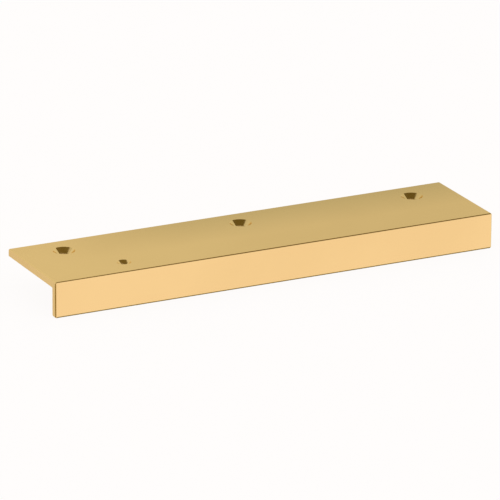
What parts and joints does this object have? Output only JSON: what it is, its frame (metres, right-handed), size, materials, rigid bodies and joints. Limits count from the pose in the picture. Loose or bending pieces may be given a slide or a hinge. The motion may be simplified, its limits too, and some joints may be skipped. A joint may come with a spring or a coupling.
{
  "type": "kick plate",
  "caption": "L-shaped solid brass kick plate: a wide flange screwed down through countersunk holes, with a short front lip.",
  "frame": {"origin": "middle of the flange's flat underside, the face that seats on the work", "axes": "+X along the plate, +Y from the front lip towards the back edge, +Z out of the flange's top face, the side the screws enter from"},
  "size_m": [0.26, 0.06, 0.02],
  "materials": {
    "polished_brass": "satin polished, warm gold"
  },
  "bodies": {
    "root": {"angle_plate": "polished_brass"}
  },
  "joints": []
}
